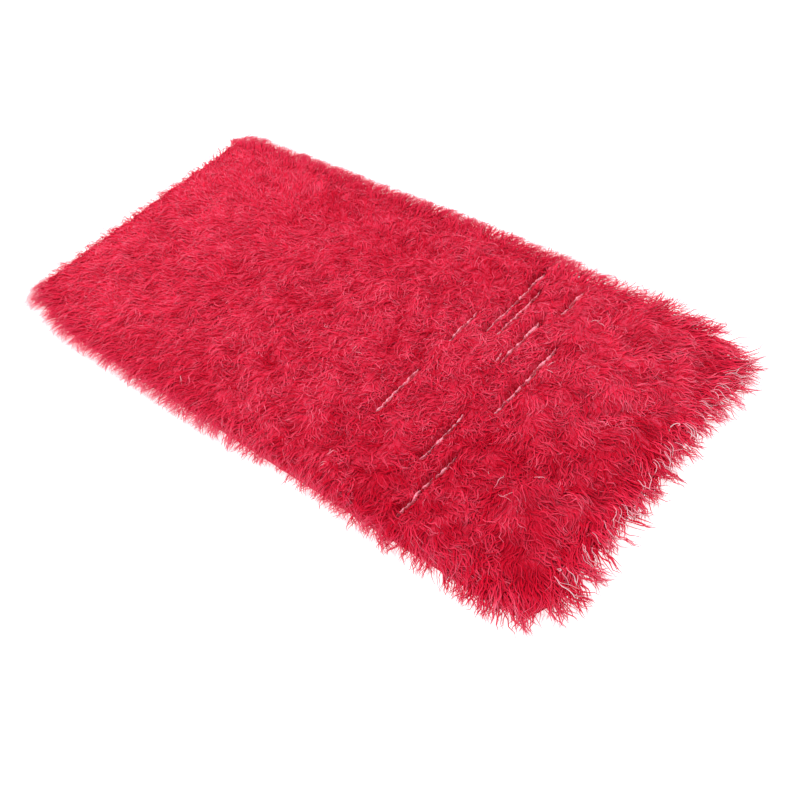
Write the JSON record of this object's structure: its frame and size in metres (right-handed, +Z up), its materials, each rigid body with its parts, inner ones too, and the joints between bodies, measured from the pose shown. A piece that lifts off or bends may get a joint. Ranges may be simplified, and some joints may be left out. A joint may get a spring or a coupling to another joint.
{
  "type": "long-pile wool shag rug",
  "caption": "Rectangular hand-woven wool rug with a long red shag pile over a pale cloth, lying flat, its locks spilling past every side.",
  "frame": {"origin": "on the floor, under the middle of the rug", "axes": "+X along the rug towards the end with the pale warp ends, +Y across it, +Z up from the floor"},
  "size_m": [1.3983, 0.6971, 0.0423],
  "materials": {
    "red_wool_pile": "long curly wool locks, matt with a soft sheen",
    "pale_ground_weave": "coarse undyed wool weave with a pink tint from the pile, matt",
    "pale_warp_yarn": "twisted undyed wool yarn, matt"
  },
  "bodies": {
    "root": {"ground_cloth": "pale_ground_weave", "shag_pile": "red_wool_pile", "warp_ends": "pale_warp_yarn"}
  },
  "joints": []
}
